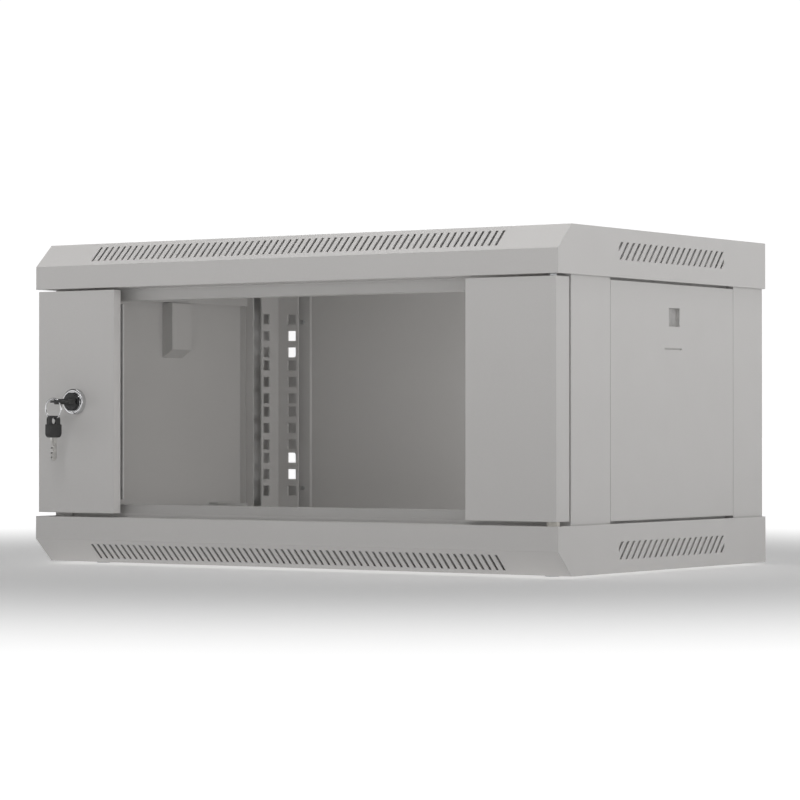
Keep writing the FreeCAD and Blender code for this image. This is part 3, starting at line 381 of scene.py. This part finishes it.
BLADE_CUTS = [
    (-0.2, BLADE_TIP), (-1.5, 34.3), (-2.7, 32.6), (-1.9, 31.2), (-3.1, 29.5), (-3.1, 28.8), (-1.6, 27.2),
    (-1.6, 26.4), (-2.8, 25.0), (-2.8, 24.3), (-1.2, 22.6), (-1.2, 21.8), (-2.3, 20.5), (-BLADE_HALF, 19.2)]


def key_head_mesh():
    """The moulded grip: a solid with a dished panel on both faces; the thin tab with the ring hole is made
    apart.
    """
    shape = bmesh.new()
    rim = [shape.verts.new((x, y, -HALF_GRIP * MM)) for x, y in scaled(KEY_HEAD_OUTLINE)]
    floor = shape.faces.new(rim)
    grown = bmesh.ops.extrude_face_region(shape, geom=[floor])
    raised = [item for item in grown["geom"] if isinstance(item, bmesh.types.BMVert)]
    bmesh.ops.translate(shape, verts=raised, vec=(0, 0, 2 * HALF_GRIP * MM))
    bmesh.ops.recalc_face_normals(shape, faces=shape.faces)
    broad = [face for face in shape.faces if abs(face.normal.z) > 0.9]
    for face in broad:
        bmesh.ops.inset_region(shape, faces=[face], thickness=2.2 * MM, depth=0)
        bmesh.ops.translate(shape, verts=list(face.verts), vec=face.normal * (-0.5 * MM))
    sharp = [edge for edge in shape.edges if edge.calc_face_angle(0) > math.radians(20)]
    bmesh.ops.bevel(shape, geom=sharp, offset=0.7 * MM, segments=3, profile=0.6, affect="EDGES",
                    clamp_overlap=True)
    bmesh.ops.recalc_face_normals(shape, faces=shape.faces)
    mesh = bpy.data.meshes.new("key_grip")
    shape.to_mesh(mesh)
    shape.free()
    return mesh


def flat_piece(name, outline, half, edge, holes=()):
    """A plate of the key, in millimetres, centred on the key's plane."""
    outlines = [scaled(outline)] + [scaled(hole) for hole in holes]
    return plate_mesh(name, outlines, -half * MM, half * MM, edge * MM)


def key_meshes():
    """The meshes of the grip and those of the blade."""
    tab = flat_piece("key_tab", KEY_TAB_OUTLINE, HALF_TAB, 0.45, [ring_points(TAB_HOLE, 40)])
    toothed = [(0.0, BLADE_START), (0.0, BLADE_TIP - 0.1)] + BLADE_CUTS + [(-BLADE_HALF, BLADE_START)]
    blade = [flat_piece("blade_spine", BLADE_SPINE, HALF_TAB, 0.15),
             flat_piece("blade_teeth", toothed, HALF_TAB, 0.15),
             flat_piece("blade_web", BLADE_WEB, HALF_WEB, 0.1)]
    return [key_head_mesh(), tab], blade


def add_keys():
    head, blade = key_meshes()
    inserted = centre("inserted_key_head")
    inserted.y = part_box("inserted_key_head")[0].y - TAB_END * MM
    spare = centre("spare_key_head")
    spare.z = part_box("spare_key_head")[1].z + TAB_END * MM
    in_lock = turned_to((1, 0, 0), (0, 0, 1), inserted)
    hanging = turned_to((0, 1, 0), (-1, 0, 0), spare)
    for name, place in (("inserted_key", in_lock), ("spare_key", hanging)):
        add_piece(name + "_grip", [(mesh, place) for mesh in head], "black_plastic", name, [name + "_head"])
        add_piece(name + "_cut_blade", [(mesh, place) for mesh in blade], "nickel_blade", name,
                  [name + "_blade"])


# Split ring: lengths in millimetres
RING_HALF_WIDTH = 0.6
RING_HALF_HEIGHT = 0.29
RING_COIL_LEVEL = 0.305
RING_START = math.radians(200)
CHANGE_TURN = 0.9


def add_split_ring():
    """Two flat coils of one wire that change over between the wire's ends."""
    low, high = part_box("key_ring")
    middle = centre("key_ring")
    radius = (high.x - low.x) / 2 - RING_HALF_WIDTH * MM
    steps = 200
    points = []
    for step in range(steps + 1):
        turn = 4 * math.pi * step / steps
        change = min(1.0, max(0.0, (turn - 2 * math.pi + CHANGE_TURN / 2) / CHANGE_TURN))
        level = (2 * change * change * (3 - 2 * change) - 1) * RING_COIL_LEVEL * MM
        spot = turn + RING_START
        points.append((radius * math.cos(spot), radius * math.sin(spot), level))
    wire = tube_mesh("key_ring_wire", points, RING_HALF_WIDTH * MM, RING_HALF_HEIGHT * MM)
    place = turned_to((1, 0, 0), (0, -1, 0), middle)
    add_piece("key_split_ring", [(wire, place)], "chrome_plate", "key_ring", ["key_ring"], 60)


# Lock: lengths in millimetres; local Z points out of the door, from the face of the strip
STRIP_FACE = -158.8
LOCK_BORE = 6.05
BARREL_RADIUS = 9.5
BARREL_END = -24.9
BEZEL_RADIUS = 11.25
BEZEL_HEIGHT = 5.0
PLUG_RADIUS = 6.0
PLUG_END = -25.2
KEYWAY_END = -12.7
KEYWAY = [(-3.45, -1.2), (-3.45, 1.2), (3.45, 1.2), (3.45, -1.2)]
COLLAR_RADIUS = 8.0
COLLAR_BACK = 5.1
COLLAR_FACE = 8.0
CAM_HUB_RADIUS = 7
CAM_ARM = [(-6, -3.6), (-6, -26.5), (-5.4, -27.6), (-4.4, -28),
           (4.4, -28), (5.4, -27.6), (6, -26.5), (6, -3.6)]
CAM_BACK = -27.2
CAM_FACE = -25.2
NUT_CORNER_RADIUS = 13.5
NUT_BACK = -5.2
NUT_FACE = -1.2


def lock_place():
    spot = centre("lock_plug")
    spot.y = STRIP_FACE * MM
    return turned_to((1, 0, 0), (0, -1, 0), spot)


def rounded(radius, height, size, steps=4):
    """Points of a quarter round at the upper outer corner of a turned solid."""
    turns = [math.pi / 2 * step / steps for step in range(steps + 1)]
    return [(radius - size + size * math.cos(turn), height - size + size * math.sin(turn)) for turn in turns]


def threads(radius, start, end, pitch, depth):
    """Points of a threaded stretch, drawn as rings with a root, two flanks and a crest."""
    points = []
    count = int(abs(end - start) / pitch)
    step = (end - start) / count
    for turn in range(count):
        low = start + turn * step
        points += [(radius - depth, low), (radius - depth, low + 0.15 * step), (radius, low + 0.45 * step),
                   (radius, low + 0.6 * step), (radius - depth, low + 0.9 * step)]
    return points


def add_lock():
    place = lock_place()
    barrel = [(LOCK_BORE, BARREL_END), (BARREL_RADIUS - 0.6, BARREL_END)]
    barrel += threads(BARREL_RADIUS, BARREL_END + 0.7, -1.4, 1.0, 0.35)
    bezel = [(BARREL_RADIUS, -0.9), (BARREL_RADIUS, 0.0), (BEZEL_RADIUS - 0.2, 0.0), (BEZEL_RADIUS, 0.3)]
    bezel += rounded(BEZEL_RADIUS, BEZEL_HEIGHT, 1.1)
    groove = BEZEL_HEIGHT - 0.25
    face = [(9.35, BEZEL_HEIGHT), (9.1, groove), (8.7, groove), (8.45, BEZEL_HEIGHT), (LOCK_BORE, BEZEL_HEIGHT)]
    housing = lathe_mesh("lock_shell", scaled(barrel + bezel + face), 96)
    add_piece("lock_bezel_and_barrel", [(housing, place)], "chrome_plate", "door", ["lock_housing"], 30)

    collar_outlines = [scaled(ring_points(COLLAR_RADIUS, 72)), scaled(KEYWAY)]
    collar = plate_mesh("plug_collar", collar_outlines, COLLAR_BACK * MM, COLLAR_FACE * MM, 0.55 * MM)
    core_outlines = [scaled(ring_points(PLUG_RADIUS, 64)), scaled(KEYWAY)]
    core = plate_mesh("plug_core", core_outlines, KEYWAY_END * MM, (COLLAR_BACK + 0.3) * MM, 0.1 * MM)
    tail_top = KEYWAY_END + 0.1
    tail_profile = [(2.6, PLUG_END), (PLUG_RADIUS, PLUG_END), (PLUG_RADIUS, tail_top), (0, tail_top)]
    tail = lathe_mesh("plug_tail", scaled(tail_profile), 64)
    add_piece("lock_plug_with_keyway", [(collar, place), (core, place), (tail, place)], "black_plug",
              "lock_cylinder", ["lock_plug"], 30)

    turns = [math.radians(turn) for turn in range(-31, 212, 6)]
    hub = [(CAM_HUB_RADIUS * math.cos(turn), CAM_HUB_RADIUS * math.sin(turn)) for turn in turns]
    cam_outlines = [scaled(hub + CAM_ARM), scaled(ring_points(2.55, 32))]
    cam = plate_mesh("cam_plate", cam_outlines, CAM_BACK * MM, CAM_FACE * MM, 0.25 * MM)
    add_piece("lock_cam_plate", [(cam, place)], "zinc_plate", "lock_cylinder", ["lock_cam"], 30)

    hexagon = ring_points(NUT_CORNER_RADIUS, 6, start=math.radians(30))
    nut_outlines = [scaled(hexagon), scaled(ring_points(BARREL_RADIUS + 0.06, 64))]
    nut = plate_mesh("lock_nut_plate", nut_outlines, NUT_BACK * MM, NUT_FACE * MM, 0.5 * MM)
    add_piece("lock_hexagon_nut", [(nut, place)], "zinc_plate", "door", ["lock_nut"], 30)


# Fasteners: lengths in millimetres; local Z points from the seat out through the head
COVER_SCREW_ACROSS = 132
COVER_SCREW_DEPTH = 130.2
FLOOR_COVER_LEVEL = 4.0
ROOF_COVER_LEVEL = 280.0
RIVET_ACROSS = 229.75
RIVET_DEPTH = 188.45
RIVET_LEVELS = (62, 222)
CAM_SCREW_SEAT = -131.6
STUD_ACROSS = 202.5
STUD_SEAT = -157.6
STUD_LEVELS = (72.75, 212.75)


def cross_head_mesh(name, radius, height, shank_radius, shank_length):
    """A pan head screw with a cross recess."""
    profile = [(0, -shank_length), (0.7 * shank_radius, -shank_length)]
    profile += threads(shank_radius, -shank_length + 0.3, -0.3, 0.8, 0.25 * shank_radius)
    dome = [(0.97, 0), (1, 0.12), (0.97, 0.42), (0.86, 0.70), (0.66, 0.90), (0.35, 0.99), (0, 1)]
    profile += [(shank_radius, 0)] + [(across * radius, up * height) for across, up in dome]
    body = bpy.data.objects.new(name, lathe_mesh(name, scaled(profile), 48))
    scene.collection.objects.link(body)
    arm = 0.11 * radius
    reach = 0.56 * radius
    cross = [(reach, -arm), (reach, arm), (arm, arm), (arm, reach), (-arm, reach), (-arm, arm), (-reach, arm),
             (-reach, -arm), (-arm, -arm), (-arm, -reach), (arm, -reach), (arm, -arm)]
    recess = plate_mesh(name + "_recess", [scaled(cross)], 0.45 * height * MM, 1.3 * height * MM, 0.02 * MM)
    cutter = bpy.data.objects.new(name + "_cutter", recess)
    scene.collection.objects.link(cutter)
    cut = body.modifiers.new("recess", "BOOLEAN")
    cut.object = cutter
    cut.solver = "EXACT"
    bpy.context.view_layer.update()
    mesh = bpy.data.meshes.new_from_object(body.evaluated_get(bpy.context.evaluated_depsgraph_get()))
    bpy.data.objects.remove(body)
    bpy.data.objects.remove(cutter)
    return mesh


def rivet_mesh():
    """A blind rivet with a domed head, the hole of its mandrel and a swelled tail."""
    head = [(4.0, 0.0), (3.85, 0.45), (3.3, 0.85), (2.3, 1.15),
            (1.25, 1.25), (1.05, 1.1), (1.0, 0.2), (0, 0.2)]
    tail = [(0, -3.6), (1.6, -3.55), (2.0, -3.2), (2.0, 0.0)]
    return lathe_mesh("blind_rivet", scaled(tail + head), 40)


def add_row(name, mesh, across, depth, levels, body, replaced):
    """A fastener at both sides and at each level, whose head points to the wall."""
    places = []
    for side in (-across, across):
        for level in levels:
            spot = Vector((side, depth, level)) * MM
            places.append((mesh, turned_to((1, 0, 0), (0, 1, 0), spot)))
    add_piece(name, places, "zinc_plate", body, [replaced], 30)


def add_fasteners():
    cover_screw = cross_head_mesh("cover_screw", 4.0, 2.0, 2.0, 2.6)
    places = []
    for across in (-COVER_SCREW_ACROSS, COVER_SCREW_ACROSS):
        for outward, level in ((-1, FLOOR_COVER_LEVEL), (1, ROOF_COVER_LEVEL)):
            spot = Vector((across, COVER_SCREW_DEPTH, level)) * MM
            places.append((cover_screw, turned_to((1, 0, 0), (0, 0, outward), spot)))
    add_piece("cable_cover_cross_screws", places, "zinc_plate", "cabinet", ["cable_cover_screws"], 30)

    add_row("back_panel_blind_rivets", rivet_mesh(), RIVET_ACROSS, RIVET_DEPTH, RIVET_LEVELS, "cabinet",
            "back_panel_rivets")

    screw = cross_head_mesh("cam_cross_screw", 4.25, 3.5, 2.45, 9.0)
    spot = centre("lock_plug")
    spot.y = CAM_SCREW_SEAT * MM
    place = turned_to((1, 0, 0), (0, 1, 0), spot)
    add_piece("cam_cross_screw", [(screw, place)], "zinc_plate", "lock_cylinder", ["cam_screw"], 30)

    stud_profile = [(0, 0.0), (2.0, 0.0), (2.0, 2.5)] + threads(2.0, 2.6, 17.3, 0.7, 0.22)
    stud = lathe_mesh("threaded_stud", scaled(stud_profile + [(1.6, 17.7), (0, 17.7)]), 32)
    add_row("glass_clamp_threaded_studs", stud, STUD_ACROSS, STUD_SEAT, STUD_LEVELS, "door",
            "glass_clamp_studs")


# Spring of the upper hinge pin: lengths in millimetres
COIL_RADIUS = 3.45
COIL_WIRE = 0.4
COIL_TURNS = 7.5
GROUND_TURNS = 0.9


def add_spring():
    """The coil spring of the upper hinge pin, at the height of its CAD node; the real spring shortens as the
    pin is drawn down.
    """
    low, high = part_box("upper_pin_spring")
    middle = centre("upper_pin_spring")
    height = high.z - low.z
    wire = COIL_WIRE * MM
    radius = COIL_RADIUS * MM
    steps = 360
    points = []
    for step in range(steps + 1):
        wound = COIL_TURNS * step / steps
        # the first and the last turn lie nearly flat, as a ground end does
        lead = min(1.0, max(0.0, (wound - GROUND_TURNS) / (COIL_TURNS - 2 * GROUND_TURNS)))
        ends = min(wound, GROUND_TURNS) + max(0.0, wound - COIL_TURNS + GROUND_TURNS)
        level = wire + wire * ends + lead * (height - 2 * wire - 2 * wire * GROUND_TURNS)
        turn = 2 * math.pi * wound
        points.append((radius * math.cos(turn), radius * math.sin(turn), level))
    coil = tube_mesh("spring_wire", points, wire, wire)
    piece = add_piece("upper_pin_coil_spring", [(coil, Matrix.Translation((middle.x, middle.y, low.z)))],
                      "zinc_plate", "door", ["upper_pin_spring"], 60)
    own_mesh(piece)


add_keys()
add_split_ring()
add_lock()
add_fasteners()
add_spring()


# Stage, light and camera: lengths in metres
# near_floor_glow and far_floor_glow are the floor's own glow, not lamps: weak glow near the object as painted
# shade, full glow away from it
LEVELS = {"horizon": 1.04, "sky": 0.05, "near_floor_glow": 0.36, "far_floor_glow": 1.0,
          "front": 92, "right": 52, "top": 350, "inside": 0.38}
FLOOR_RADIUS = 40
# distances from the object over which the floor's glow rises from its near level to its far level
GLOW_START = 0.35
GLOW_END = 1.3
WALL_TOP_START = 0.14
WALL_TOP_END = 0.22
LIGHT_AIM = Vector((0, 0, 0.13))
INNER_LAMP_PLACE = Vector((0.235, 0.02, 0.142))
CAMERA_LENS = 140.55
CAMERA_PLACE = (1.5512, -2.2618, 0.1193)
CAMERA_TURN = (math.radians(90.523), 0, math.radians(34.26))


def collect_cabinet():
    """A collection of every mesh but the floor, for the lamps: the floor is left to its own glow."""
    collection = bpy.data.collections.new("cabinet_only")
    for item in scene.objects:
        if item.type == "MESH":
            collection.objects.link(item)
    return collection


def make_floor():
    """A pale floor that glows: its glow is weak near the object and rises to full away from it, a painted shade
    round the object; the glow also lights the object from below.
    """
    mesh = bpy.data.meshes.new("floor")
    shape = bmesh.new()
    bmesh.ops.create_circle(shape, cap_ends=True, segments=96, radius=FLOOR_RADIUS)
    shape.to_mesh(mesh)
    shape.free()
    floor = bpy.data.objects.new("floor", mesh)
    scene.collection.objects.link(floor)
    shader = Shader("glowing_pale_floor")
    shader.colour(shader.blend(shader.noise(0.8, 2), (0.90, 0.90, 0.90), (0.93, 0.93, 0.93)))
    shader.set(Roughness=0.8, Specular_IOR_Level=0.1, Emission_Color=(1, 1, 1, 1))
    away = shader.add("ShaderNodeVectorMath", operation="LENGTH")
    shader.link(shader.place, away.inputs[0])
    # painted shade: the floor's glow is weakest near the object and rises to full away from it
    glow = shader.add("ShaderNodeMapRange", interpolation_type="SMOOTHSTEP")
    set_range(glow, GLOW_START, GLOW_END, LEVELS["near_floor_glow"], LEVELS["far_floor_glow"])
    shader.link(away.outputs["Value"], glow.inputs["Value"])
    shader.link(glow.outputs["Result"], shader.principled.inputs["Emission Strength"])
    mesh.materials.append(shader.material)


def add_lamp(name, size, place, away, lit):
    """A rectangular lamp whose back faces the direction away; it lights only the collection lit."""
    light = bpy.data.lights.new(name, "AREA")
    light.shape = "RECTANGLE"
    light.size, light.size_y = size
    light.energy = LEVELS[name]
    lamp = bpy.data.objects.new(name, light)
    lamp.location = place
    lamp.rotation_euler = away.to_track_quat("Z", "Y").to_euler()
    lamp.light_linking.receiver_collection = lit
    scene.collection.objects.link(lamp)
    return lamp


def add_softbox(name, azimuth, elevation, distance, size, lit):
    """A soft box that faces the object; azimuth 0 is straight in front, 90 to its right."""
    turn = math.radians(azimuth)
    rise = math.radians(elevation)
    away = Vector((math.sin(turn) * math.cos(rise), -math.cos(turn) * math.cos(rise), math.sin(rise)))
    add_lamp(name, size, LIGHT_AIM + away * distance, away, lit)


def make_world():
    """White walls all round at the horizon and a dim ceiling."""
    world = bpy.data.worlds.new("studio")
    world.use_nodes = True
    tree = world.node_tree
    background = tree.nodes["Background"]
    background.inputs["Color"].default_value = (1, 1, 1, 1)
    direction = tree.nodes.new("ShaderNodeTexCoord")
    split = tree.nodes.new("ShaderNodeSeparateXYZ")
    level = tree.nodes.new("ShaderNodeMapRange")
    level.interpolation_type = "SMOOTHSTEP"
    set_range(level, WALL_TOP_START, WALL_TOP_END, LEVELS["horizon"], LEVELS["sky"])
    tree.links.new(direction.outputs["Generated"], split.inputs[0])
    tree.links.new(split.outputs["Z"], level.inputs["Value"])
    tree.links.new(level.outputs["Result"], background.inputs["Strength"])
    scene.world = world


def make_lamps(lit):
    """Soft boxes at the front right, right and top, and a weak lamp inside the cabinet."""
    add_softbox("front", 25, 38, 7, (3.0, 3.0), lit)
    add_softbox("right", 90, 28, 6, (3.0, 2.4), lit)
    add_softbox("top", 180, 84, 7, (4.0, 4.0), lit)
    inner_lamp = add_lamp("inside", (0.2, 0.16), INNER_LAMP_PLACE, Vector((1, 0, 0)), lit)
    inner_lamp.visible_camera = False


def make_camera():
    """The photograph's viewpoint: to the right of the front, level with the middle of the cabinet."""
    data = bpy.data.cameras.new("camera")
    data.lens = CAMERA_LENS
    data.sensor_width = 36
    camera = bpy.data.objects.new("camera", data)
    camera.location = CAMERA_PLACE
    camera.rotation_euler = CAMERA_TURN
    scene.collection.objects.link(camera)
    scene.camera = camera


scene.view_settings.view_transform = "Standard"
cabinet_only = collect_cabinet()
make_floor()
make_world()
make_lamps(cabinet_only)
make_camera()
